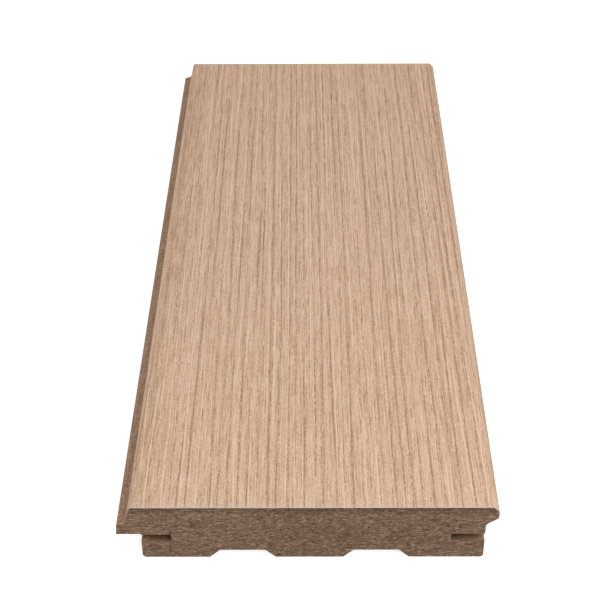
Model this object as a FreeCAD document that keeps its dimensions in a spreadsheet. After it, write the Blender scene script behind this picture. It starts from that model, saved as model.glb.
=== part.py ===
"""Decking board of wood-fibre composite, one moulded length lying flat.

The frame is in millimetres: X across the board with the lip at -X and the nosing at +X,
Y along the length, Z up from the feet. The origin is at the middle of the underside.
"""
import FreeCAD, Part
import math
import os
import re

import Sketcher
from FreeCAD import Vector

NODE = "deck_board"
SHEET = "Sizes"

# Driving dimensions in millimetres: alias, value, what it measures.
SIZES = [
    ("board_length", 350, "sawn length"),
    ("board_width", 139.7, "overall width, lip tip to nosing tip"),
    ("board_thickness", 25.4, "feet to walking face"),
    ("lip_reach", 9, "lip tip out from the side of the block"),
    ("lip_underside", 12, "height of the lip's lower face"),
    ("lip_thickness", 4.6, "height of the lip's tip"),
    ("lip_draft", 0.3, "lean of the lip's tip, across"),
    ("lip_round", 0.8, "rounding on the lip's upper edge"),
    ("ledge_width", 3.6, "lip tip to the foot of the shoulder"),
    ("ledge_rise", 1, "rise of the ledge from tip to shoulder"),
    ("shoulder_fillet", 0.6, "fillet between ledge and shoulder"),
    ("shoulder_lean", 2, "shoulder foot to walking face, across"),
    ("shoulder_round", 1.2, "rounding between shoulder and walking face"),
    ("nose_reach", 4.5, "nosing tip out from the side of the block"),
    ("nose_bevel_width", 2.1, "bevel above the nosing tip, across"),
    ("nose_bevel_drop", 2.3, "bevel above the nosing tip, down"),
    ("nose_bevel_round", 1.5, "rounding at both ends of the bevel"),
    ("nose_depth", 5.7, "walking face to the nosing's lower corner"),
    ("nose_round", 1.8, "rounding on the nosing's lower corner"),
    ("cove_depth", 8.6, "walking face to the corner of the cove"),
    ("cove_round", 2.5, "radius of the cove under the nosing"),
    ("foot_round", 1.5, "rounding on the two lower edges"),
    ("kerf_height", 3, "height of the clip kerfs"),
    ("lip_kerf_depth", 11, "depth of the kerf under the lip"),
    ("lip_kerf_drop", 0.4, "lip's lower face to the roof of the kerf under it"),
    ("nose_kerf_depth", 12.3, "depth of the kerf under the nosing"),
    ("lip_foot", 25, "width of the foot on the lip's side"),
    ("middle_foot", 25, "width of the foot between the grooves"),
    ("nose_foot", 27.5, "width of the foot on the nosing's side"),
    ("groove_depth", 3.7, "depth of the grooves in the underside"),
    ("groove_slope", 3.8, "slanted side of a groove, across"),
    ("groove_round", 1, "rounding along the groove's inner corners"),
]

# Lines that several outlines share, worked out from the sheet's names.
LIP_TIP = "-board_width / 2"
NOSE_TIP = "board_width / 2"
LIP_SIDE = "-board_width / 2 + lip_reach"
NOSE_SIDE = "board_width / 2 - nose_reach"
SHOULDER_FOOT = "-board_width / 2 + ledge_width"
LIP_TOP = "lip_underside + lip_thickness"
LIP_KERF_ROOF = "lip_underside - lip_kerf_drop"
LIP_KERF_FLOOR = f"{LIP_KERF_ROOF} - kerf_height"
NOSE_KERF_ROOF = "lip_underside"
NOSE_KERF_FLOOR = f"{NOSE_KERF_ROOF} - kerf_height"
GROOVE_START = "-board_width / 2 + lip_reach + lip_foot"
FEET = "(lip_foot + middle_foot + nose_foot)"
GROOVE_WIDTH = f"(board_width - lip_reach - nose_reach - {FEET}) / 2"
GROOVE_PITCH = f"{GROOVE_WIDTH} + middle_foot"

# Corners of each outline, anticlockwise seen with X right and Z up: x, z, rounding or None for sharp.
SECTION = [
    (LIP_SIDE, "0", "foot_round"),
    (NOSE_SIDE, "0", "foot_round"),
    (NOSE_SIDE, "board_thickness - cove_depth", "cove_round"),
    (NOSE_TIP, "board_thickness - nose_depth", "nose_round"),
    (NOSE_TIP, "board_thickness - nose_bevel_drop", "nose_bevel_round"),
    (f"{NOSE_TIP} - nose_bevel_width", "board_thickness", "nose_bevel_round"),
    (f"{SHOULDER_FOOT} + shoulder_lean", "board_thickness", "shoulder_round"),
    (SHOULDER_FOOT, f"{LIP_TOP} + ledge_rise", "shoulder_fillet"),
    (f"{LIP_TIP} + lip_draft", LIP_TOP, "lip_round"),
    (LIP_TIP, "lip_underside", None),
    (LIP_SIDE, "lip_underside", None),
]
LIP_KERF = [
    (LIP_TIP, LIP_KERF_FLOOR, None),
    (f"{LIP_SIDE} + lip_kerf_depth", LIP_KERF_FLOOR, None),
    (f"{LIP_SIDE} + lip_kerf_depth", LIP_KERF_ROOF, None),
    (LIP_TIP, LIP_KERF_ROOF, None),
]
NOSE_KERF = [
    (f"{NOSE_SIDE} - nose_kerf_depth", NOSE_KERF_FLOOR, None),
    (NOSE_TIP, NOSE_KERF_FLOOR, None),
    (NOSE_TIP, NOSE_KERF_ROOF, None),
    (f"{NOSE_SIDE} - nose_kerf_depth", NOSE_KERF_ROOF, None),
]
GROOVE = [
    (GROOVE_START, "0", None),
    (f"{GROOVE_START} + {GROOVE_WIDTH}", "0", None),
    (f"{GROOVE_START} + {GROOVE_WIDTH} - groove_slope", "groove_depth", "groove_round"),
    (f"{GROOVE_START} + groove_slope", "groove_depth", "groove_round"),
]


def add_sheet(doc):
    """Put the driving dimensions into a spreadsheet, one aliased cell each."""
    sheet = doc.addObject("Spreadsheet::Sheet", SHEET)
    for row, (alias, value, note) in enumerate(SIZES, start=1):
        sheet.set(f"A{row}", alias)
        sheet.set(f"B{row}", str(value))
        sheet.set(f"C{row}", note)
        sheet.setAlias(f"B{row}", alias)
    doc.recompute()
    return sheet


def bound(text):
    """Turn an expression over the sheet's names into one for another object's property."""
    return re.sub(r"[a-z]+_[a-z_]+", lambda word: f"{SHEET}.{word.group()}", text)


def add_sketch(body, name):
    """Add an empty sketch on the body's own XZ plane."""
    plane = next(item for item in body.Origin.OriginFeatures if item.Role == "XZ_Plane")
    sketch = body.newObject("Sketcher::SketchObject", name)
    sketch.AttachmentSupport = [(plane, "")]
    sketch.MapMode = "FlatFace"
    return sketch


def constrain(sketch, name, text, *constraint):
    """Add a named dimension and bind it to the sheet."""
    sketch.addConstraint(Sketcher.Constraint(*constraint))
    sketch.renameConstraint(sketch.ConstraintCount - 1, name)
    sketch.setExpression(f"Constraints.{name}", bound(text))


def corner_arc(before, corner, after, radius):
    """Work out the arc that rounds a corner.

    Returns the arc, always anticlockwise, its two ends in the outline's order and whether it
    runs with the outline (a convex corner) or against it (a hollow one).
    """
    back = (before - corner).normalize()
    onward = (after - corner).normalize()
    half = back.getAngle(onward) / 2
    first = corner + back * (radius / math.tan(half))
    last = corner + onward * (radius / math.tan(half))
    centre = corner + (back + onward).normalize() * (radius / math.sin(half))
    convex = back.cross(onward).z < 0
    start, stop = (first, last) if convex else (last, first)
    angles = [math.atan2(point.y - centre.y, point.x - centre.x) for point in (start, stop)]
    circle = Part.Circle(centre, Vector(0, 0, 1), radius)
    return Part.ArcOfCircle(circle, *angles), first, last, convex


def add_outline(sheet, sketch, name, corners):
    """Draw a closed outline in a sketch, each corner and rounding bound to the sheet."""
    points = [Vector(sheet.evalExpression(x), sheet.evalExpression(z), 0) for x, z, _ in corners]
    total = len(corners)
    starts, ends, arcs = list(points), list(points), {}
    for index, (_, _, rounding) in enumerate(corners):
        if rounding:
            radius = sheet.evalExpression(rounding)
            before, after = points[index - 1], points[(index + 1) % total]
            arc, ends[index], starts[index], convex = corner_arc(before, points[index], after, radius)
            arcs[index] = (sketch.addGeometry(arc, False), convex)
    lines = [
        sketch.addGeometry(Part.LineSegment(starts[index], ends[(index + 1) % total]), False)
        for index in range(total)
    ]
    for index, (x, z, rounding) in enumerate(corners):
        inward, outward = lines[index - 1], lines[index]
        if rounding:
            arc, convex = arcs[index]
            first, last = (1, 2) if convex else (2, 1)
            sketch.addConstraint(Sketcher.Constraint("Tangent", inward, 2, arc, first))
            sketch.addConstraint(Sketcher.Constraint("Tangent", arc, last, outward, 1))
            fixed = sketch.addGeometry(Part.Point(points[index]), True)
            sketch.addConstraint(Sketcher.Constraint("PointOnObject", fixed, 1, inward))
            sketch.addConstraint(Sketcher.Constraint("PointOnObject", fixed, 1, outward))
            radius = sheet.evalExpression(rounding)
            constrain(sketch, f"{name}_round_{index}", rounding, "Radius", arc, radius)
        else:
            fixed = outward
            sketch.addConstraint(Sketcher.Constraint("Coincident", inward, 2, outward, 1))
        place = points[index]
        constrain(sketch, f"{name}_x_{index}", x, "DistanceX", -1, 1, fixed, 1, place.x)
        constrain(sketch, f"{name}_z_{index}", z, "DistanceY", -1, 1, fixed, 1, place.y)


def add_section(body, sheet):
    """Carry the board's section, with its lip and nosing, along the length."""
    sketch = add_sketch(body, "section")
    add_outline(sheet, sketch, "section", SECTION)
    blank = body.newObject("PartDesign::Pad", "blank")
    blank.Profile = sketch
    blank.SideType = "Symmetric"
    blank.setExpression("Length", bound("board_length"))
    return blank


def cut_through(body, sketch, name):
    """Cut a sketch's outlines out of the body from end to end."""
    pocket = body.newObject("PartDesign::Pocket", name)
    pocket.Profile = sketch
    pocket.Type = "ThroughAll"
    pocket.SideType = "Symmetric"
    return pocket


def add_kerfs(body, sheet):
    """Saw the two kerfs that take the fixing clips, one in each side."""
    sketch = add_sketch(body, "kerf_outlines")
    add_outline(sheet, sketch, "lip_kerf", LIP_KERF)
    add_outline(sheet, sketch, "nose_kerf", NOSE_KERF)
    return cut_through(body, sketch, "kerfs")


def add_grooves(doc, body, sheet):
    """Run two shallow grooves along the underside, which leave three feet."""
    sketch = add_sketch(body, "groove_outline")
    add_outline(sheet, sketch, "groove", GROOVE)
    groove = cut_through(body, sketch, "groove")
    doc.recompute()
    pair = body.newObject("PartDesign::LinearPattern", "groove_pair")
    pair.Originals = [groove]
    pair.Direction = (sketch, ["H_Axis"])
    pair.Mode = "Spacing"
    pair.Occurrences = 2
    pair.setExpression("Offset", bound(GROOVE_PITCH))
    body.Tip = pair
    return pair


def check_document(doc, stages):
    """Stop if an object failed, a sketch is loose or a cut took nothing away."""
    for item in doc.Objects:
        if "Invalid" in item.State or "Error" in item.State:
            raise RuntimeError(f"{item.Label} failed: {item.State}")
        if item.TypeId == "Sketcher::SketchObject" and not item.FullyConstrained:
            raise RuntimeError(f"{item.Label} is not fully constrained")
    volumes = [stage.Shape.Volume for stage in stages]
    for stage, before, after in zip(stages[1:], volumes, volumes[1:]):
        if after >= before:
            raise RuntimeError(f"{stage.Label} cut nothing")


def export(body):
    """Write the finished solid under its node's name."""
    shape = body.Shape
    if shape.isNull() or not shape.isValid() or len(shape.Solids) != 1:
        raise RuntimeError(f"{body.Label} is not one valid solid")
    os.makedirs("parts", exist_ok=True)
    shape.exportStep(f"parts/{body.Label}.step")
    box = shape.BoundBox
    print(f"{body.Label}: {box.XLength:.2f} x {box.YLength:.2f} x {box.ZLength:.2f} mm, "
          f"{shape.Volume / 1000:.1f} cm3")


def main():
    """Build the board and write its file."""
    doc = FreeCAD.newDocument("decking_board")
    sheet = add_sheet(doc)
    body = doc.addObject("PartDesign::Body", NODE)
    body.Label = NODE
    blank = add_section(body, sheet)
    doc.recompute()
    kerfs = add_kerfs(body, sheet)
    doc.recompute()
    grooves = add_grooves(doc, body, sheet)
    doc.recompute()
    check_document(doc, [blank, kerfs, grooves])
    export(body)


main()
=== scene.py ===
"""Looks of a wood-fibre composite decking board lying flat on a pale floor.

The board is one piece: a section with a lip, a nosing, two kerfs and two grooves, carried along its
length. Its walking face is wire-brushed and tan, its sides are plain brown and its ends are sawn.
Everything is in metres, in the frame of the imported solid.
"""
import logging
import math
from dataclasses import dataclass
from enum import Enum

import bpy
import numpy as np
from mathutils import Matrix, Vector
from mathutils.geometry import delaunay_2d_cdt


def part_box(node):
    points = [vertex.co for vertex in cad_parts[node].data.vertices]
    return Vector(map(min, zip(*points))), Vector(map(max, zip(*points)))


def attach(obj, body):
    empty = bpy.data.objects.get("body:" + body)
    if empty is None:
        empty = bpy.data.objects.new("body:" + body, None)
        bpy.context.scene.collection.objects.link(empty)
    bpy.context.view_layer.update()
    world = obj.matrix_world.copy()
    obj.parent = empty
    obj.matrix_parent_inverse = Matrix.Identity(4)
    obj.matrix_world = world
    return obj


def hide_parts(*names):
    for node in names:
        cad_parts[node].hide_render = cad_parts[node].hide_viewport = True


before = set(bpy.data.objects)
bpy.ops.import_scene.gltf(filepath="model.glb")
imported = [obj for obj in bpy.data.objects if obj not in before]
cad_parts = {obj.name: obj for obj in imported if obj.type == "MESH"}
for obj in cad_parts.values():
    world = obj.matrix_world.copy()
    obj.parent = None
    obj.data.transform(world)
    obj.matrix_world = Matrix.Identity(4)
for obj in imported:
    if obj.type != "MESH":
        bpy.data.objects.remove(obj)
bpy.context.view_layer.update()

LOG = logging.getLogger("deck_board")
MM = 0.001
NODE = "deck_board"
BODY = "root"
PIECE = "deck_board_visual"
PHOTO_PIXELS = 616
SHARP_ANGLE = math.radians(50.0)
WHITE = (1.0, 1.0, 1.0, 1.0)
TINY = 1e-18
INNER_TRIANGLES = 1
MERGE_DISTANCE = 1e-6

Array = np.ndarray
Colour = tuple[float, float, float]
Ramp = tuple[tuple[float, Colour], ...]
Socket = bpy.types.NodeSocket
Value = Socket | float | tuple[float, ...]
Look = tuple[Socket, Socket, Socket]


class Surface(Enum):
    """The three kinds of surface on the board, numbered as its material slots."""

    WALKING_FACE = 0
    MOULDED_SIDE = 1
    SAWN_END = 2


@dataclass(frozen=True)
class Corner:
    """A corner of the section and the straight run that leaves it.

    Fields: place across and up, radius of its rounding, spacing of points on the run after it, and
    the surface that the run belongs to.
    """

    x: float
    z: float
    radius: float = 0.0
    step: float = 2.0 * MM
    surface: Surface = Surface.MOULDED_SIDE


@dataclass(frozen=True)
class Outline:
    """The section as one closed loop of points, anticlockwise with X right and Z up.

    Fields: points (n, 2), outward normals (n, 2), distance along the loop (n,), and how fully each
    point takes the walking face's brushing (n,), from 0 off the face to 1 clear of its edges.
    """

    points: Array
    normals: Array
    travel: Array
    brushed: Array


def smooth_step(part: Array) -> Array:
    """Ease a share from 0 to 1 with level ends: 3p^2 - 2p^3, clipped."""
    part = np.clip(part, 0.0, 1.0)
    return part * part * (3.0 - 2.0 * part)


class Strands:
    """Slow random numbers along the board, a run of them for each of many strands."""

    def __init__(self, count: int, along: Array, length: float, rng: np.random.Generator) -> None:
        """Draw the numbers.

        Args:
            count: number of strands.
            along: positions along the board, in metres, where they are wanted.
            length: distance between two numbers of a strand.
            rng: source of the random numbers.
        """
        self.row = (along - along.min()) / length
        # A start adds up to one row, and the last place needs the rows on both sides of it.
        rows = int(math.ceil(self.row.max())) + 3
        self.values = rng.uniform(-1.0, 1.0, (count, rows))
        self.starts = rng.uniform(0.0, 1.0, count)

    def at(self, index: Array) -> Array:
        """Read the strands, each from its own start, with an eased blend between its numbers.

        Args:
            index: number of the strand wanted at each position.

        Returns:
            Values from -1 to 1, of the same shape.
        """
        place = self.row + self.starts[index]
        low = np.floor(place).astype(int)
        part = smooth_step(place - low)
        return self.values[index, low] * (1.0 - part) + self.values[index, low + 1] * part


def streaks(
    across: Array, along: Array, width: float, length: float, rng: np.random.Generator
) -> Array:
    """Make noise drawn out one way: strands side by side, with an eased blend between neighbours.

    Args:
        across: positions across the strands, in metres.
        along: positions along the strands, in metres, of the same shape.
        width: distance between strands.
        length: distance between the numbers of a strand.
        rng: source of the random numbers.

    Returns:
        Values from -1 to 1, of the same shape.
    """
    column = (across - across.min()) / width
    first = np.floor(column).astype(int)
    strands = Strands(int(first.max()) + 2, along, length, rng)
    part = smooth_step(column - first)
    return strands.at(first) * (1.0 - part) + strands.at(first + 1) * part


def depth_inside(points: Array, loop: Array) -> Array:
    """Find how far inside a closed loop points lie: the distance to its nearest edge.

    A ray to +X crosses the loop an odd number of times from a point that is inside.

    Args:
        points: (n, 2) places.
        loop: (m, 2) corners in order.

    Returns:
        (n,) distances, below 0 for points outside.
    """
    stop = np.roll(loop, -1, axis=0)
    edge = stop - loop
    offset = points[:, None] - loop
    share = (offset * edge).sum(-1) / np.maximum((edge * edge).sum(-1), TINY)
    nearest = offset - np.clip(share, 0.0, 1.0)[..., None] * edge
    distance = np.sqrt((nearest * nearest).sum(-1).min(axis=1))
    x, z = points[:, :1], points[:, 1:]
    spans = (loop[:, 1] > z) != (stop[:, 1] > z)
    rise = np.where(edge[:, 1] == 0.0, 1.0, edge[:, 1])
    meets = loop[:, 0] + (z - loop[:, 1]) * edge[:, 0] / rise
    inside = (spans & (meets > x)).sum(axis=1) % 2 == 1
    return np.where(inside, distance, -distance)


@dataclass(frozen=True)
class Section:
    """The board's section, with the sizes of its lip, nosing, kerfs and grooves.

    Steps are the spacings of points, and each arc has a least number of them. The face margin is where
    the brushing fades at the face's edges.
    """

    width: float
    thickness: float
    lip_reach: float = 9.0 * MM
    lip_underside: float = 12.0 * MM
    lip_thickness: float = 4.6 * MM
    lip_draft: float = 0.3 * MM
    lip_round: float = 0.8 * MM
    ledge_width: float = 3.6 * MM
    ledge_rise: float = 1.0 * MM
    shoulder_fillet: float = 0.6 * MM
    shoulder_lean: float = 2.0 * MM
    shoulder_round: float = 1.2 * MM
    nose_reach: float = 4.5 * MM
    nose_bevel_width: float = 2.1 * MM
    nose_bevel_drop: float = 2.3 * MM
    nose_bevel_round: float = 1.5 * MM
    nose_depth: float = 5.7 * MM
    nose_round: float = 1.8 * MM
    cove_depth: float = 8.6 * MM
    cove_round: float = 2.5 * MM
    foot_round: float = 1.5 * MM
    kerf_height: float = 3.0 * MM
    lip_kerf_depth: float = 11.0 * MM
    lip_kerf_drop: float = 0.4 * MM
    nose_kerf_depth: float = 12.3 * MM
    lip_foot: float = 25.0 * MM
    middle_foot: float = 25.0 * MM
    nose_foot: float = 27.5 * MM
    groove_depth: float = 3.7 * MM
    groove_slope: float = 3.8 * MM
    groove_round: float = 1.0 * MM
    arris: float = 0.2 * MM
    arc_step: float = 0.45 * MM
    arc_points: int = 3
    face_step: float = 0.16 * MM
    face_margin: float = 2.0 * MM
    cut_step: float = 1.0 * MM
    cove_step: float = 0.8 * MM
    nose_step: float = 0.5 * MM
    bevel_step: float = 0.4 * MM
    shoulder_step: float = 0.6 * MM
    tip_step: float = 0.8 * MM

    @property
    def lip_side(self) -> float:
        """Place of the block's side under the lip."""
        return -self.width / 2 + self.lip_reach

    @property
    def nose_side(self) -> float:
        """Place of the block's side under the nosing."""
        return self.width / 2 - self.nose_reach

    @property
    def face_edge(self) -> float:
        """Place of the walking face's edge over the lip."""
        return -self.width / 2 + self.ledge_width + self.shoulder_lean

    @property
    def groove_width(self) -> float:
        """Width of a groove's mouth: two grooves share what the three feet leave."""
        feet = self.lip_foot + self.middle_foot + self.nose_foot
        return (self.nose_side - self.lip_side - feet) / 2

    def groove_corners(self, start: float) -> list[Corner]:
        """List the corners of one groove in the underside.

        Args:
            start: place of the groove's edge nearer the lip.

        Returns:
            Four corners from the lip's side to the nosing's.
        """
        stop = start + self.groove_width
        high, radius, step = self.groove_depth, self.groove_round, self.cut_step
        return [
            Corner(start, 0.0, self.arris, step=step),
            Corner(start + self.groove_slope, high, radius),
            Corner(stop - self.groove_slope, high, radius, step=step),
            Corner(stop, 0.0, self.arris),
        ]

    def corners(self) -> list[Corner]:
        """List every corner of the section.

        Returns:
            The corners in order, from the foot under the lip round to the lip's kerf.
        """
        tip, top = self.width / 2, self.thickness
        lip_top = self.lip_underside + self.lip_thickness
        ledge_top = lip_top + self.ledge_rise
        shoulder_foot = -tip + self.ledge_width
        first_groove = self.lip_side + self.lip_foot
        second_groove = first_groove + self.groove_width + self.middle_foot
        nose_kerf_end = self.nose_side - self.nose_kerf_depth
        nose_kerf_floor = self.lip_underside - self.kerf_height
        lip_kerf_end = self.lip_side + self.lip_kerf_depth
        lip_kerf_roof = self.lip_underside - self.lip_kerf_drop
        lip_kerf_floor = lip_kerf_roof - self.kerf_height
        return [
            Corner(self.lip_side, 0.0, self.foot_round),
            *self.groove_corners(first_groove),
            *self.groove_corners(second_groove),
            Corner(self.nose_side, 0.0, self.foot_round),
            Corner(self.nose_side, nose_kerf_floor, self.arris),
            Corner(nose_kerf_end, nose_kerf_floor, step=self.cut_step),
            Corner(nose_kerf_end, self.lip_underside),
            Corner(self.nose_side, self.lip_underside, self.arris, step=self.cut_step),
            Corner(self.nose_side, top - self.cove_depth, self.cove_round, step=self.cove_step),
            Corner(tip, top - self.nose_depth, self.nose_round, step=self.nose_step),
            Corner(tip, top - self.nose_bevel_drop, self.nose_bevel_round, step=self.bevel_step),
            Corner(
                tip - self.nose_bevel_width,
                top,
                self.nose_bevel_round,
                step=self.face_step,
                surface=Surface.WALKING_FACE,
            ),
            Corner(self.face_edge, top, self.shoulder_round, step=self.shoulder_step),
            Corner(shoulder_foot, ledge_top, self.shoulder_fillet, step=self.shoulder_step),
            Corner(-tip + self.lip_draft, lip_top, self.lip_round, step=self.tip_step),
            Corner(-tip, self.lip_underside, self.arris),
            Corner(self.lip_side, self.lip_underside),
            Corner(self.lip_side, lip_kerf_roof, self.arris),
            Corner(lip_kerf_end, lip_kerf_roof, step=self.cut_step),
            Corner(lip_kerf_end, lip_kerf_floor),
            Corner(self.lip_side, lip_kerf_floor, self.arris),
        ]

    def rounding(self, before: Corner, corner: Corner, after: Corner) -> Array:
        """Sample the arc that rounds a corner, touching the runs on both sides of it.

        The centre lies on the corner's bisector, radius / sin(half angle) away.

        Args:
            before: the corner before it.
            corner: the corner itself.
            after: the corner after it.

        Returns:
            (k, 2) points from the first run to the second, or the corner alone if it is sharp.
        """
        here = np.array([corner.x, corner.z])
        if corner.radius == 0.0:
            return here[None]
        back = np.array([before.x, before.z]) - here
        onward = np.array([after.x, after.z]) - here
        back = back / np.linalg.norm(back)
        onward = onward / np.linalg.norm(onward)
        half = math.acos(float(np.clip(back @ onward, -1.0, 1.0))) / 2
        bisector = (back + onward) / np.linalg.norm(back + onward)
        centre = here + bisector * corner.radius / math.sin(half)
        first = here + back * corner.radius / math.tan(half) - centre
        turn = math.pi - 2 * half
        if back[0] * onward[1] - back[1] * onward[0] > 0.0:
            turn = -turn
        count = max(self.arc_points, math.ceil(abs(turn) * corner.radius / self.arc_step) + 1)
        angles = math.atan2(first[1], first[0]) + np.linspace(0.0, turn, count)
        return centre + corner.radius * np.stack([np.cos(angles), np.sin(angles)], axis=-1)

    def outline(self) -> Outline:
        """Join the corners' arcs with evenly divided runs into one closed loop.

        Returns:
            The loop with its outward normals, each square to the chord between its two neighbours.
        """
        corners = self.corners()
        total = len(corners)
        arcs = [
            self.rounding(corners[index - 1], corner, corners[(index + 1) % total])
            for index, corner in enumerate(corners)
        ]
        pieces: list[Array] = []
        brushed: list[Array] = []
        for index, corner in enumerate(corners):
            start, stop = arcs[index][-1], arcs[(index + 1) % total][0]
            reach = float(np.linalg.norm(stop - start))
            share = np.linspace(0.0, 1.0, max(1, round(reach / corner.step)) + 1)[1:-1]
            pieces += [arcs[index], start + share[:, None] * (stop - start)]
            to_edge = np.minimum(share, 1.0 - share) * reach
            full = 1.0 if corner.surface is Surface.WALKING_FACE else 0.0
            brushed += [np.zeros(len(arcs[index])), full * smooth_step(to_edge / self.face_margin)]
        points = np.concatenate(pieces)
        chord = np.roll(points, -1, axis=0) - np.roll(points, 1, axis=0)
        normals = np.stack([chord[:, 1], -chord[:, 0]], axis=-1)
        normals /= np.linalg.norm(normals, axis=1, keepdims=True)
        steps = np.linalg.norm(np.diff(points, axis=0, append=points[:1]), axis=1)
        travel = np.concatenate([[0.0], np.cumsum(steps)[:-1]])
        return Outline(points, normals, travel, np.concatenate(brushed))


class Mark(Enum):
    """What a comb leaves: whole bands, or hairlines that the finish breaks into dashes."""

    BAND = "grain"
    HAIR = "hairs"


@dataclass(frozen=True)
class Comb:
    """Lines that a row of bristles leaves along the board.

    Fields: kind of mark, lane, usual distance between lines, half-width of a line, how far it strays
    from its even place as a share of that distance, how long it runs before it fades, how long before
    it strays, how deep the furrows are, how much the lines darken (below 0) or lighten (above 0) the
    face, a line's mean strength, and how far its strength swings. Lines that lighten are ridges.
    Combs of one lane that stray alike run along the same lines.
    """

    mark: Mark
    lane: int
    pitch: float
    width: float
    stray: float
    run: float
    stray_run: float
    depth: float
    tone: float
    strength: float = 0.5
    swing: float = 0.8

    def lines(self, across: Array, along: Array, rng: np.random.Generator) -> Array:
        """Work out how far onto a line each place is.

        Each strip one pitch wide holds one line, which strays from the strip's middle and fades along
        the board. A line's section is exp(-(distance / half-width)^2); a place takes the strongest of
        the lines in its own strip and in the two beside it.

        Args:
            across: positions across the grain, in metres.
            along: positions along the grain, in metres, of the same shape.
            rng: source of the random numbers.

        Returns:
            Values from 0 between lines to 1 on the middle of the strongest, of the same shape.
        """
        level = (across - across.min()) / self.pitch
        strip = np.floor(level).astype(int) + 1
        count = int(strip.max()) + 2
        strays = Strands(count, along, self.stray_run, rng)
        strengths = Strands(count, along, self.run, rng)
        strongest = np.zeros_like(across)
        for index in (strip - 1, strip, strip + 1):
            stray = self.stray * strays.at(index)
            away = (level - index + 0.5 - stray) * self.pitch / self.width
            strength = np.clip(self.strength + self.swing * strengths.at(index), 0.0, 1.0)
            strongest = np.maximum(strongest, strength * np.exp(-away * away))
        return strongest


@dataclass(frozen=True)
class Grain:
    """The brushed relief of the walking face, fainter lines on the other faces, and the sawn ends.

    Fields: seed of the random numbers, how far the lines drift across for each metre along, the combs,
    and how deep their lines are off the face as a share. On the ends: the greatest depth, width and
    length of coarse and of fine fibres, the sum of both at which pits start and how fast they deepen,
    and as shares of the depth the mean level, each fibre's swing and the pits.
    """

    seed: int = 20
    skew: float = 0.0084
    combs: tuple[Comb, ...] = (
        Comb(Mark.BAND, 0, 3.6 * MM, 0.65 * MM, 0.30, 140.0 * MM, 170.0 * MM, 0.04 * MM, -0.19),
        Comb(Mark.HAIR, 0, 3.6 * MM, 0.18 * MM, 0.30, 60.0 * MM, 170.0 * MM, 0.12 * MM, -0.84),
        Comb(Mark.HAIR, 1, 1.4 * MM, 0.17 * MM, 0.36, 36.0 * MM, 70.0 * MM, 0.05 * MM, -0.54),
        Comb(Mark.BAND, 2, 2.7 * MM, 0.22 * MM, 0.40, 40.0 * MM, 100.0 * MM, 0.03 * MM, 0.31),
    )
    side_share: float = 0.20
    end_depth: float = 0.22 * MM
    coarse_fibre: tuple[float, float] = (0.9 * MM, 3.0 * MM)
    fine_fibre: tuple[float, float] = (0.55 * MM, 1.4 * MM)
    pit_start: float = 0.7
    pit_fade: float = 0.8
    end_level: float = 0.3
    fibre_share: float = 0.15
    pit_share: float = 0.4

    def fields(self, outline: Outline, stations: Array) -> tuple[Array, dict[Mark, Array]]:
        """Work out the relief and the tone along the whole board.

        Args:
            outline: the section's loop.
            stations: places along the board.

        Returns:
            Depth under the plain surface in metres, and the tone of each kind of mark about 0, all
            (stations, points).
        """
        along = np.repeat(stations[:, None], len(outline.points), axis=1)
        level = np.where(outline.brushed > 0.0, outline.points[:, 0], outline.travel)
        across = np.repeat(level[None], len(stations), axis=0) + self.skew * along
        depth = np.zeros_like(across)
        tones = {mark: np.zeros_like(across) for mark in Mark}
        for comb in self.combs:
            lines = comb.lines(across, along, np.random.default_rng((self.seed, comb.lane)))
            depth += comb.depth * (lines if comb.tone < 0.0 else 1.0 - lines)
            tones[comb.mark] += comb.tone * lines
        share = self.side_share + (1.0 - self.side_share) * outline.brushed
        return depth * share, tones

    def end_relief(self, points: Array, seed: int) -> Array:
        """Work out the torn fibres of a sawn end.

        Fibres lie across the board: noise drawn out along X at two sizes, with deep pits where it
        runs low.

        Args:
            points: (n, 2) places on the end.
            seed: tells the two ends apart.

        Returns:
            (n,) depth under the plain end in metres.
        """
        rng = np.random.default_rng(seed)
        x, z = points.T
        coarse = streaks(z, x, *self.coarse_fibre, rng)
        fine = streaks(z, x, *self.fine_fibre, rng)
        pits = smooth_step((coarse + fine - self.pit_start) / self.pit_fade)
        level = self.end_level + self.fibre_share * coarse + self.fibre_share * fine
        return self.end_depth * np.clip(level + self.pit_share * pits, 0.0, 1.0)


@dataclass(frozen=True)
class Noise:
    """A layer of noise that a finish adds to its tone.

    Fields: width of a patch along X, Y and Z, how much it counts, number of finer layers in it, and how
    far its patches are bent out of line, in patches.
    """

    size: tuple[float, float, float]
    amount: float
    detail: float = 1.0
    warp: float = 0.0


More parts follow.
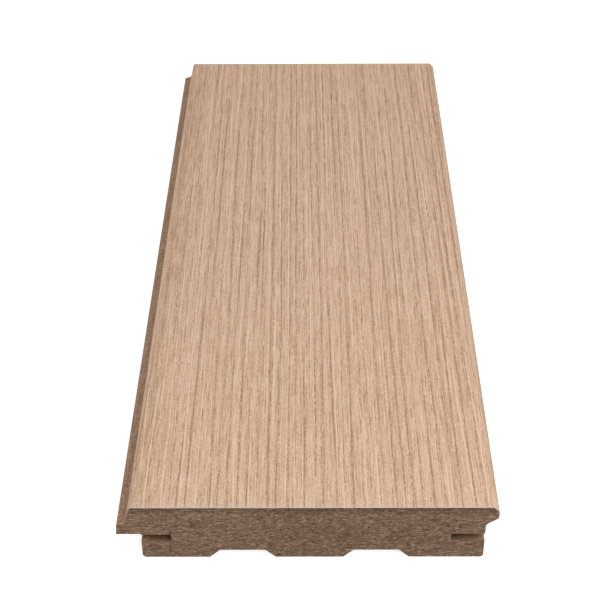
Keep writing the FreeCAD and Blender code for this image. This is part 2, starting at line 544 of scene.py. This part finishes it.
@dataclass
class Graph:
    """The node tree of a material or a world, with short ways to add nodes to it."""

    owner: bpy.types.Material | bpy.types.World

    def __post_init__(self) -> None:
        """Start from no nodes."""
        self.owner.use_nodes = True
        self.owner.node_tree.nodes.clear()

    def add(
        self, kind: str, inputs: dict[str | int, Value] | None = None, **settings: object
    ) -> bpy.types.Node:
        """Add a node.

        Args:
            kind: the node's type name.
            inputs: sockets to link and values to set, by an input's name or number.
            settings: the node's other properties by name.

        Returns:
            The new node.
        """
        tree = self.owner.node_tree
        node = tree.nodes.new(kind)
        for name, value in settings.items():
            setattr(node, name, value)
        for name, value in (inputs or {}).items():
            if isinstance(value, Socket):
                tree.links.new(value, node.inputs[name])
            else:
                node.inputs[name].default_value = value
        return node

    def noise(self, layer: Noise) -> Socket:
        """Add noise on the piece's own coordinates, without its amount.

        Args:
            layer: the noise wanted.

        Returns:
            The noise value, about 0.5 on average.
        """
        place = self.add("ShaderNodeTexCoord").outputs["Object"]
        scale = tuple(1.0 / part for part in layer.size)
        mapping = self.add("ShaderNodeMapping", {"Vector": place, "Scale": scale})
        patches = {"Vector": mapping.outputs["Vector"], "Scale": 1.0}
        finer = {"Detail": layer.detail, "Distortion": layer.warp}
        return self.add("ShaderNodeTexNoise", patches | finer).outputs["Fac"]

    def height(self) -> Socket:
        """Read the height above the piece's own origin, in metres."""
        place = self.add("ShaderNodeTexCoord").outputs["Object"]
        return self.add("ShaderNodeSeparateXYZ", {0: place}).outputs["Z"]

    def attribute(self, name: str) -> Socket:
        """Read one of the mesh's own numbers."""
        return self.add("ShaderNodeAttribute", attribute_name=name).outputs["Fac"]

    def maths(
        self, operation: str, first: Socket, second: Value, third: Value = 0.0, clamp: bool = False
    ) -> Socket:
        """Add a sum on numbers.

        Args:
            operation: such as ADD, MULTIPLY or MULTIPLY_ADD.
            first: its first number.
            second: its second number.
            third: its third number, if it takes three.
            clamp: whether the result is kept from 0 to 1.

        Returns:
            The result.
        """
        inputs = {0: first, 1: second, 2: third}
        return self.add("ShaderNodeMath", inputs, operation=operation, use_clamp=clamp).outputs[0]

    def total(self, start: Value, layers: list[tuple[Socket, float]], clamp: bool = False) -> Socket:
        """Add up numbers, each times its amount.

        Args:
            start: what they are added to.
            layers: numbers with their amounts.
            clamp: whether each sum is kept from 0 to 1.

        Returns:
            The sum.
        """
        for number, amount in layers:
            start = self.maths("MULTIPLY_ADD", number, amount, start, clamp)
        return start

    def average(self, first: Socket, second: Socket) -> Socket:
        """Take the middle of two numbers."""
        return self.total(self.maths("MULTIPLY", first, 0.5), [(second, 0.5)])

    def sight(self) -> Socket:
        """Tell the rays of sight from others.

        Returns:
            1 for a view, a reflection or a view through glass, 0 for other rays.
        """
        path = self.add("ShaderNodeLightPath").outputs
        direct = self.maths("MAXIMUM", path["Is Camera Ray"], path["Is Glossy Ray"])
        return self.maths("MAXIMUM", direct, path["Is Transmission Ray"])

    def blend(self, share: Socket, ramp: Ramp) -> Socket:
        """Turn a number into a colour.

        Args:
            share: the number.
            ramp: places from 0 to 1 with their colours, at least two.

        Returns:
            The colour.
        """
        node = self.add("ShaderNodeValToRGB", {"Fac": share})
        elements = node.color_ramp.elements
        for place, _ in ramp[2:]:
            elements.new(place)
        for element, (place, colour) in zip(elements, ramp):
            element.position = place
            element.color = (*colour, 1.0)
        return node.outputs["Color"]

    def mix(self, share: Socket, first: Value, second: Value) -> Socket:
        """Mix two colours: the first at share 0, the second at share 1."""
        # Sockets of this node share their names, so they go by number.
        return self.add("ShaderNodeMix", {0: share, 6: first, 7: second}, data_type="RGBA").outputs[2]


@dataclass(frozen=True, kw_only=True)
class Finish:
    """A matte surface with fine bump.

    Fields: name of its material, real height of the bump in metres, roughness at tone 0 and at tone 1,
    and specular level.
    """

    name: str
    bump: float
    roughness: tuple[float, float]
    specular: float

    def nodes(self, graph: Graph) -> Look:
        """Add the finish's own nodes to a material.

        Args:
            graph: the material's nodes.

        Returns:
            Base colour, tone from 0 in the hollows to 1 on the ridges, and bump height from 0 to 1.
        """
        raise NotImplementedError

    def material(self) -> bpy.types.Material:
        """Make the material.

        Returns:
            The material, its roughness going evenly with its tone.
        """
        material = bpy.data.materials.new(self.name)
        graph = Graph(material)
        colour, tone, height = self.nodes(graph)
        low, high = self.roughness
        relief = {"Strength": 1.0, "Distance": self.bump, "Height": height}
        look = {
            "Base Color": colour,
            "Roughness": graph.total(low, [(tone, high - low)], clamp=True),
            "Specular IOR Level": self.specular,
            "Normal": graph.add("ShaderNodeBump", relief).outputs["Normal"],
        }
        shader = graph.add("ShaderNodeBsdfPrincipled", look)
        graph.add("ShaderNodeOutputMaterial", {"Surface": shader.outputs["BSDF"]})
        return material


@dataclass(frozen=True, kw_only=True)
class MouldedFinish(Finish):
    """Plain brown composite of the sides and underside, with faint lines along the board.

    The dark colour inside the kerfs is painted shade, where little light reaches.
    """

    name: str = "moulded_brown"
    bump: float = 0.06 * MM
    roughness: tuple[float, float] = (0.86, 0.64)
    specular: float = 0.25
    brown: Ramp = (
        (0.30, (0.240, 0.142, 0.087)),
        (0.50, (0.360, 0.221, 0.139)),
        (0.75, (0.500, 0.330, 0.222)),
    )
    # Painted shade inside the kerfs: a dark brown in place of the shadow there.
    painted_kerf_shade: Colour = (0.100, 0.058, 0.034)
    tone: float = -0.295
    lines: Noise = Noise((0.8 * MM, 16.0 * MM, 0.8 * MM), 0.55, 2.0)
    flecks: Noise = Noise((0.6 * MM, 1.1 * MM, 0.6 * MM), 1.05)

    def nodes(self, graph: Graph) -> Look:
        """Add the brown's nodes: lines and flecks of noise.

        Args:
            graph: the material's nodes.

        Returns:
            Base colour, tone, and the tone again as bump height.
        """
        layers = [(graph.noise(layer), layer.amount) for layer in (self.lines, self.flecks)]
        tone = graph.total(self.tone, layers)
        plain = graph.blend(tone, self.brown)
        # Painted shade inside the kerfs, mixed in by the mesh's kerf share.
        colour = graph.mix(graph.attribute("kerf"), plain, (*self.painted_kerf_shade, 1.0))
        return colour, tone, tone


@dataclass(frozen=True, kw_only=True)
class WalkingFinish(Finish):
    """Tan wire-brushed walking face, wrapping a little way down both edges into the brown.

    The pale colours are those of the ends: pale wear with a painted highlight along the arris. Hairlines
    show where their breaks and pores come out above 0.
    """

    name: str = "brushed_tan"
    bump: float = 0.10 * MM
    roughness: tuple[float, float] = (0.84, 0.62)
    specular: float = 0.02
    brown: MouldedFinish
    tan: Ramp = (
        (0.15, (0.416, 0.259, 0.166)),
        (0.50, (0.688, 0.464, 0.320)),
        (0.80, (0.860, 0.632, 0.474)),
    )
    pale: Ramp = ((0.15, (0.540, 0.415, 0.330)), (0.65, (0.705, 0.555, 0.456)))
    tone: float = -0.30
    dashes: Noise = Noise((0.38 * MM, 12.0 * MM, 0.38 * MM), 0.72)
    specks: Noise = Noise((0.24 * MM, 0.8 * MM, 0.24 * MM), 0.92)
    break_level: float = -1.35
    breaks: Noise = Noise((0.60 * MM, 7.5 * MM, 0.60 * MM), 4.0)
    pore_level: float = -1.9
    pores: Noise = Noise((0.60 * MM, 2.4 * MM, 0.60 * MM), 5.0)

    def nodes(self, graph: Graph) -> Look:
        """Add the tan's nodes.

        The tone is the mesh's own grain and hairlines, the hairlines broken along their length, with
        dashes and specks of noise on them. Below the edges' roundings the mesh's own tan share fades
        into the brown.

        Args:
            graph: the material's nodes.

        Returns:
            Base colour, tone and bump height.
        """
        hairs = graph.attribute(Mark.HAIR.value)
        for level, layer in ((self.break_level, self.breaks), (self.pore_level, self.pores)):
            whole = graph.total(level, [(graph.noise(layer), layer.amount)], clamp=True)
            hairs = graph.maths("MULTIPLY", hairs, whole)
        marks = graph.maths("ADD", hairs, graph.attribute(Mark.BAND.value))
        dashes, specks = graph.noise(self.dashes), graph.noise(self.specks)
        layers = [(dashes, self.dashes.amount), (specks, self.specks.amount)]
        tone = graph.total(graph.maths("ADD", marks, self.tone), layers)
        tan, pale = graph.blend(tone, self.tan), graph.blend(tone, self.pale)
        # Pale wear and a painted highlight at the ends, by the mesh's share.
        wear_and_highlight = graph.mix(graph.attribute("wear_and_highlight"), tan, pale)
        brown, _, _ = self.brown.nodes(graph)
        colour = graph.mix(graph.attribute("tan"), brown, wear_and_highlight)
        return colour, tone, graph.average(dashes, specks)


@dataclass(frozen=True, kw_only=True)
class SawnFinish(Finish):
    """Sawn brown end: pale flecks and dark pits lying across the board, darker under the top.

    The shade is how much the tone falls at the top, over the depth of its fade. A strand lies where its
    noise is near its middle, and is the thinner the steeper it is.
    """

    name: str = "sawn_brown"
    bump: float = 0.15 * MM
    roughness: tuple[float, float] = (0.95, 0.75)
    specular: float = 0.20
    top: float
    brown: Ramp = (
        (0.20, (0.088, 0.051, 0.031)),
        (0.46, (0.190, 0.116, 0.073)),
        (0.54, (0.190, 0.116, 0.073)),
        (0.85, (0.385, 0.262, 0.180)),
    )
    tone: float = -0.71
    fibres: Noise = Noise((2.4 * MM, 1.0 * MM, 0.50 * MM), 1.32, 2.0, 1.2)
    specks: Noise = Noise((0.9 * MM, 0.6 * MM, 0.6 * MM), 0.74)
    strands: Noise = Noise((3.2 * MM, 1.2 * MM, 1.0 * MM), 0.24, 2.0, 1.0)
    strand_steepness: float = 16.0
    patches: Noise = Noise((34.0 * MM, 20.0 * MM, 9.0 * MM), 0.20)
    shade: float = 0.19
    shade_depth: float = 4.0 * MM

    def nodes(self, graph: Graph) -> Look:
        """Add the sawn end's nodes: fibres, specks, strands and patches of noise.

        Args:
            graph: the material's nodes.

        Returns:
            Base colour, tone and bump height.
        """
        fibres, specks = graph.noise(self.fibres), graph.noise(self.specks)
        away = graph.maths("ABSOLUTE", graph.maths("SUBTRACT", graph.noise(self.strands), 0.5), 0.0)
        strand = graph.total(1.0, [(away, -self.strand_steepness)], clamp=True)
        start = (self.top - self.shade_depth) / self.shade_depth
        near_top = graph.total(-start, [(graph.height(), 1.0 / self.shade_depth)], clamp=True)
        layers = [
            (fibres, self.fibres.amount),
            (specks, self.specks.amount),
            (strand, self.strands.amount),
            (graph.noise(self.patches), self.patches.amount),
            (near_top, -self.shade),
        ]
        tone = graph.total(self.tone, layers)
        return graph.blend(tone, self.brown), tone, graph.average(fibres, specks)


@dataclass
class Board:
    """The decking board: one closed mesh with its three finishes.

    Rings lie close in the round of each end and over the pale wear, whose span is in wear reaches. The
    end grid's shake and its clearance from the outline are in its spacings. The tan of the walking face
    goes down both edges to a depth, the middle of its fade. At the ends the face has pale wear with a
    painted highlight along the arris, and the saw has chipped the tan off the shoulder: a share is how
    much, a reach how far in, and a drop how far down the wear ends and the chips start. Painted light
    lies round the edge over the lip, painted shade on the face beside it, and painted shade grows down
    the nosing's bevel. Painted shade lies in the kerfs from a start, as a share of their depth, and
    grows inward.
    """

    section: Section
    length: float
    grain: Grain = Grain()
    station_step: float = 6.5 * MM
    end_round: float = 0.10 * MM
    round_rings: int = 4
    wear_highlight_rings: int = 5
    wear_highlight_span: float = 3.5
    end_grid: tuple[float, float] = (0.72 * MM, 0.58 * MM)
    grid_shake: float = 0.33
    grid_clearance: float = 0.5
    # Pale wear with a painted highlight along the ends' arris.
    wear_highlight_amount: float = 0.75
    wear_highlight_reach: float = 1.7 * MM
    wear_highlight_drop: float = 2.0 * MM
    chip_share: float = 0.92
    chip_reach: float = 3.0 * MM
    chip_drop: float = 1.0 * MM
    lip_tan_depth: float = 6.8 * MM
    lip_tan_fade: float = 1.0 * MM
    nose_tan_depth: float = 2.2 * MM
    nose_tan_fade: float = 2.6 * MM
    # Painted light round the rounded edge over the lip.
    lip_edge_painted_light: float = 0.18
    lip_edge_light_drop: float = 0.3 * MM
    # Painted shade on the walking face beside the lip's edge.
    lip_face_painted_shade: float = -0.12
    lip_face_shade_reach: float = 16.0 * MM
    # Painted shade that grows down the nosing's bevel.
    nose_painted_shade: float = -0.11
    nose_shade_drop: float = 3.4 * MM
    # Painted shade inside the kerfs, growing towards their inner ends.
    kerf_shade_start: float = 0.02
    kerf_shade_at_mouth: float = 0.5
    kerf_shade_growth: float = 0.4

    def stations(self) -> tuple[Array, Array]:
        """Place the rings along the board.

        Each end has a quarter round of close rings, then rings to well past its pale wear and painted
        highlight.

        Returns:
            Place of each ring along Y, and how far its outline is drawn in.
        """
        reach = self.length / 2
        angles = np.linspace(0.0, math.pi / 2, self.round_rings)
        rounded = reach - self.end_round * (1.0 - np.cos(angles))
        inset = self.end_round * (1.0 - np.sin(angles))
        wear_and_highlight = np.linspace(0.0, self.wear_highlight_span, self.wear_highlight_rings + 1)[1:] * self.wear_highlight_reach
        close = np.concatenate([rounded, rounded[-1] - wear_and_highlight])
        inner = close[-1]
        count = round(2 * inner / self.station_step)
        middle = np.linspace(-inner, inner, count + 1)[1:-1]
        places = np.concatenate([-close, middle, close[::-1]])
        insets = np.zeros(len(places))
        insets[: len(inset)] = inset
        insets[-len(inset) :] = inset[::-1]
        return places, insets

    def skin(self) -> tuple[Array, Array, dict[str, Array]]:
        """Carry the outline along the board, drawn in by the grain's relief.

        A point at ring i and loop place j is outline(j) - normal(j) * (depth(i, j) + inset(i)).

        Returns:
            Points (rings, loop, 3), quads (n, 4), and by name the numbers (rings, loop) that the
            finishes read.
        """
        outline = self.section.outline()
        places, insets = self.stations()
        depth, tones = self.grain.fields(outline, places)
        drawn_in = outline.points[None] - outline.normals[None] * (depth + insets[:, None])[..., None]
        along = np.broadcast_to(places[:, None], depth.shape)
        points = np.stack([drawn_in[..., 0], along, drawn_in[..., 1]], axis=-1)
        rings, loop = depth.shape
        index = np.arange(rings * loop).reshape(rings, loop)
        onward = np.roll(index, -1, axis=1)
        quads = np.stack([index[:-1], onward[:-1], onward[1:], index[1:]], axis=-1).reshape(-1, 4)
        # The bands' tone also carries the painted light and shade near the edges.
        tones[Mark.BAND] += self.edge_painted_light(outline)[None]
        numbers = {mark.value: tone for mark, tone in tones.items()}
        numbers["tan"] = self.tan_share(outline, places)
        numbers["wear_and_highlight"] = self.wear_and_highlight_share(outline, places)
        # Painted shade inside the kerfs.
        numbers["kerf"] = np.broadcast_to(self.kerf_shade_share(outline)[None], depth.shape)
        return points, quads, numbers

    def end_share(self, places: Array, reach: float) -> Array:
        """Fall off from 1 at each end of the board as exp(-(distance / reach)^2)."""
        from_end = (self.length / 2 - np.abs(places)) / reach
        return np.exp(-from_end * from_end)

    def tan_share(self, outline: Outline, places: Array) -> Array:
        """Work out how tan the skin is: 1 on the walking face, fading down its edges, with chips.

        Args:
            outline: the section's loop.
            places: place of each ring along Y.

        Returns:
            (rings, loop) shares from 0 to 1.
        """
        near_lip = outline.points[:, 0] < 0.0
        depth = np.where(near_lip, self.lip_tan_depth, self.nose_tan_depth)
        fade = np.where(near_lip, self.lip_tan_fade, self.nose_tan_fade)
        drop = self.section.thickness - outline.points[:, 1]
        whole = smooth_step((depth + fade / 2 - drop) / fade)
        low = smooth_step((drop - self.chip_drop) / self.chip_drop)
        chipped = np.where(near_lip, self.chip_share * low, 0.0)
        return whole[None] * (1.0 - self.end_share(places, self.chip_reach)[:, None] * chipped[None])

    def wear_and_highlight_share(self, outline: Outline, places: Array) -> Array:
        """Work out how much pale wear and painted highlight the skin takes (rings, loop): most at the
        face's ends, less down its edges.
        """
        high = 1.0 - smooth_step((self.section.thickness - outline.points[:, 1]) / self.wear_highlight_drop)
        return self.wear_highlight_amount * self.end_share(places, self.wear_highlight_reach)[:, None] * high[None]

    def edge_painted_light(self, outline: Outline) -> Array:
        """Work out how the tone changes near the edges.

        Over the lip painted light lies round the edge and painted shade on the face beside it, and
        painted shade grows down the nosing's bevel.

        Args:
            outline: the section's loop.

        Returns:
            (loop,) tones about 0.
        """
        x, z = outline.points.T
        drop = self.section.thickness - z
        rounded = np.where(x < 0.0, smooth_step(drop / self.lip_edge_light_drop), 0.0)
        beside = 1.0 - smooth_step((x - self.section.face_edge) / self.lip_face_shade_reach)
        bevelled = np.where(x > 0.0, smooth_step(drop / self.nose_shade_drop), 0.0)
        lip_painted_light = self.lip_edge_painted_light * rounded + self.lip_face_painted_shade * beside * (1.0 - rounded)
        return lip_painted_light + self.nose_painted_shade * bevelled

    def kerf_shade_share(self, outline: Outline) -> Array:
        """Work out how much painted shade each point of the outline takes: most at the kerfs' inner
        ends, none outside them.

        Args:
            outline: the section's loop.

        Returns:
            (loop,) shares from 0 to 1.
        """
        section = self.section
        x, z = outline.points.T
        floor = section.lip_underside - section.lip_kerf_drop - section.kerf_height
        level = (z > floor - section.arris) & (z < section.lip_underside + section.arris)
        from_lip = (x - section.lip_side) / section.lip_kerf_depth
        from_nose = (section.nose_side - x) / section.nose_kerf_depth
        inward = np.minimum(from_lip, from_nose)
        # Painted shade lies inside the kerfs, darker towards their inner ends.
        painted_kerf_shade = level & (inward > self.kerf_shade_start)
        return np.where(painted_kerf_shade, self.kerf_shade_at_mouth + self.kerf_shade_growth * inward, 0.0)

    def end_cap(self, ring: Array, seed: int) -> tuple[Array, Array]:
        """Fill one sawn end.

        A grid over the section, shaken and kept clear of the loop, is joined to the loop by triangles.

        Args:
            ring: (loop, 2) the end's outline.
            seed: tells the two ends apart.

        Returns:
            Inner points (k, 2), and triangles (n, 3) that count the loop first.
        """
        rng = np.random.default_rng(seed)
        low, high = ring.min(axis=0), ring.max(axis=0)
        axes = [np.arange(a, b, step) for a, b, step in zip(low, high, self.end_grid)]
        grid = np.stack(np.meshgrid(*axes, indexing="ij"), axis=-1).reshape(-1, 2)
        shake = rng.uniform(-self.grid_shake, self.grid_shake, grid.shape)
        grid = grid + shake * np.array(self.end_grid)
        grid = grid[depth_inside(grid, ring) > self.grid_clearance * min(self.end_grid)]
        flat = [Vector(point) for point in (np.concatenate([ring, grid]) / MM).tolist()]
        loop = list(range(len(ring)))
        _, _, faces, sources, *_ = delaunay_2d_cdt(flat, [], [loop], INNER_TRIANGLES, MERGE_DISTANCE)
        origin = np.array([numbers[0] for numbers in sources])
        return grid, origin[np.array(faces)]

    def mesh(self) -> bpy.types.Mesh:
        """Join the skin and both ends into one closed mesh.

        Returns:
            The mesh, with the numbers that its finishes read and a finish on each face.
        """
        skin, quads, numbers = self.skin()
        rings, loop = skin.shape[:2]
        points = [skin.reshape(-1, 3)]
        corner_lists = [quads.reshape(-1)]
        sizes = [np.full(len(quads), 4)]
        kinds = [self.quad_kinds(numbers["tan"])]
        count = rings * loop
        for seed, ring_number, side in ((1, 0, -1.0), (2, rings - 1, 1.0)):
            ring = skin[ring_number][:, [0, 2]]
            inner, triangles = self.end_cap(ring, seed)
            depth = self.grain.end_relief(inner, seed)
            along = side * (self.length / 2 - depth)
            points.append(np.stack([inner[:, 0], along, inner[:, 1]], axis=-1))
            order = np.concatenate([ring_number * loop + np.arange(loop), count + np.arange(len(inner))])
            turned = triangles if side < 0.0 else triangles[:, ::-1]
            corner_lists.append(order[turned].reshape(-1))
            sizes.append(np.full(len(turned), 3))
            kinds.append(np.full(len(turned), Surface.SAWN_END.value))
            count += len(inner)
        mesh = self.pack(*map(np.concatenate, (points, corner_lists, sizes, kinds)))
        for name, values in numbers.items():
            self.store(mesh, name, np.concatenate([values.reshape(-1), np.zeros(count - rings * loop)]))
        return mesh

    @staticmethod
    def quad_kinds(share: Array) -> Array:
        """Give each quad of the skin its finish: the walking face's where its tan share is above 0."""
        tan = (share > 0.0) | (np.roll(share, -1, axis=1) > 0.0)
        return np.where(tan, Surface.WALKING_FACE.value, Surface.MOULDED_SIDE.value)[:-1].reshape(-1)

    @staticmethod
    def pack(points: Array, corners: Array, sizes: Array, kinds: Array) -> bpy.types.Mesh:
        """Write arrays into a mesh.

        Args:
            points: (n, 3) places.
            corners: point numbers of all faces in a row.
            sizes: number of corners of each face.
            kinds: finish number of each face.

        Returns:
            The mesh, smooth-shaded but for its sharp edges.
        """
        mesh = bpy.data.meshes.new(PIECE)
        mesh.vertices.add(len(points))
        mesh.vertices.foreach_set("co", points.astype(np.float32).reshape(-1))
        mesh.loops.add(len(corners))
        mesh.loops.foreach_set("vertex_index", corners.astype(np.int32))
        mesh.polygons.add(len(sizes))
        starts = np.concatenate([[0], np.cumsum(sizes)[:-1]])
        mesh.polygons.foreach_set("loop_start", starts.astype(np.int32))
        mesh.polygons.foreach_set("material_index", kinds.astype(np.int32))
        mesh.update(calc_edges=True)
        mesh.validate()
        mesh.shade_smooth()
        mesh.set_sharp_from_angle(angle=SHARP_ANGLE)
        return mesh

    @staticmethod
    def store(mesh: bpy.types.Mesh, name: str, values: Array) -> None:
        """Keep one number for each point of a mesh under a name."""
        layer = mesh.attributes.new(name, "FLOAT", "POINT")
        layer.data.foreach_set("value", values.astype(np.float32))

    def build(self) -> bpy.types.Object:
        """Make the board's object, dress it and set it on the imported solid's place.

        Returns:
            The object.
        """
        mesh = self.mesh()
        brown = MouldedFinish()
        finishes = {
            Surface.WALKING_FACE: WalkingFinish(brown=brown),
            Surface.MOULDED_SIDE: brown,
            Surface.SAWN_END: SawnFinish(top=self.section.thickness),
        }
        for surface in Surface:
            mesh.materials.append(finishes[surface].material())
        piece = bpy.data.objects.new(PIECE, mesh)
        bpy.context.scene.collection.objects.link(piece)
        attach(piece, BODY)
        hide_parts(NODE)
        return piece


@dataclass(frozen=True)
class Camera:
    """The photograph's viewpoint, worked out from the board's edges.

    Fields: distances from the middle of the near end's lower edge, angles in degrees, focal length
    in photograph pixels.
    """

    right: float = 2.846 * MM
    back: float = 363.668 * MM
    up: float = 385.548 * MM
    pitch: float = 36.6389
    yaw: float = -0.3102
    roll: float = -0.2883
    focal_pixels: float = 1406.71
    sensor: float = 36.0
    clip_start: float = 10.0 * MM

    def build(self, near_end: float) -> bpy.types.Object:
        """Place the camera and make it the scene's own.

        Args:
            near_end: place of the board's near end along Y.

        Returns:
            The camera.
        """
        data = bpy.data.cameras.new("photo_camera")
        data.sensor_width = self.sensor
        data.lens = self.focal_pixels * self.sensor / PHOTO_PIXELS
        data.clip_start = self.clip_start
        camera = bpy.data.objects.new("photo_camera", data)
        pose = Matrix.Translation((self.right, near_end - self.back, self.up))
        for angle, axis in ((-self.yaw, "Z"), (90.0 - self.pitch, "X"), (self.roll, "Z")):
            pose = pose @ Matrix.Rotation(math.radians(angle), 4, axis)
        camera.matrix_world = pose
        bpy.context.scene.collection.objects.link(camera)
        bpy.context.scene.camera = camera
        return camera


@dataclass(frozen=True)
class Studio:
    """A pale floor under even white light, with one broad lamp above the near right corner."""

    floor_reach: float = 6.0
    floor_drop: float = 0.05 * MM
    floor_bounce: float = 0.80
    floor_glow: float = 0.72
    sky: float = 0.632
    lamp_power: float = 2.9
    lamp_size: float = 0.5
    lamp_place: tuple[float, float, float] = (0.28, -0.55, 0.60)

    def floor(self) -> None:
        """Lay the floor: a flat square that takes shadows and looks white to the camera."""
        signs = ((-1.0, -1.0), (1.0, -1.0), (1.0, 1.0), (-1.0, 1.0))
        points = [(x * self.floor_reach, y * self.floor_reach, -self.floor_drop) for x, y in signs]
        mesh = bpy.data.meshes.new("floor")
        mesh.from_pydata(points, [], [(0, 1, 2, 3)])
        mesh.materials.append(self.floor_material())
        floor = bpy.data.objects.new("floor", mesh)
        bpy.context.scene.collection.objects.link(floor)

    def floor_material(self) -> bpy.types.Material:
        """Make the floor's material: matte, with a glow that only views and reflections see.

        Returns:
            The material.
        """
        material = bpy.data.materials.new("pale_floor")
        graph = Graph(material)
        matte = graph.add("ShaderNodeBsdfDiffuse", {"Color": (self.floor_bounce,) * 3 + (1.0,)})
        strength = graph.maths("MULTIPLY", graph.sight(), self.floor_glow)
        glow = graph.add("ShaderNodeEmission", {"Strength": strength})
        both = graph.add("ShaderNodeAddShader", {0: matte.outputs[0], 1: glow.outputs[0]})
        graph.add("ShaderNodeOutputMaterial", {"Surface": both.outputs[0]})
        return material

    def world(self) -> None:
        """Light the scene evenly from all round, with plain white behind it."""
        world = bpy.data.worlds.new("white_studio")
        graph = Graph(world)
        strength = graph.total(self.sky, [(graph.sight(), 1.0 - self.sky)])
        back = graph.add("ShaderNodeBackground", {"Color": WHITE, "Strength": strength})
        graph.add("ShaderNodeOutputWorld", {"Surface": back.outputs[0]})
        bpy.context.scene.world = world

    def lamp(self) -> None:
        """Hang the broad lamp, facing the board."""
        data = bpy.data.lights.new("broad_lamp", "AREA")
        data.energy = self.lamp_power
        data.size = self.lamp_size
        lamp = bpy.data.objects.new("broad_lamp", data)
        lamp.location = self.lamp_place
        lamp.rotation_euler = (-lamp.location).to_track_quat("-Z", "Y").to_euler()
        bpy.context.scene.collection.objects.link(lamp)

    def build(self) -> None:
        """Make the floor, the world and the lamp."""
        self.floor()
        self.world()
        self.lamp()


def main() -> None:
    """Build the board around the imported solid, then the camera and the studio."""
    logging.basicConfig(level=logging.INFO, format="%(name)s: %(message)s")
    bpy.context.scene.view_settings.view_transform = "Standard"
    low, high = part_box(NODE)
    size = high - low
    board = Board(Section(width=size.x, thickness=size.z), length=size.y)
    piece = board.build()
    LOG.info("%s: %d points, %d faces", piece.name, len(piece.data.vertices), len(piece.data.polygons))
    camera = Camera().build(low.y)
    LOG.info("%s: focal length %.1f mm", camera.name, camera.data.lens)
    Studio().build()
    LOG.info("studio: floor, world and lamp")


if __name__ == "__main__":
    main()
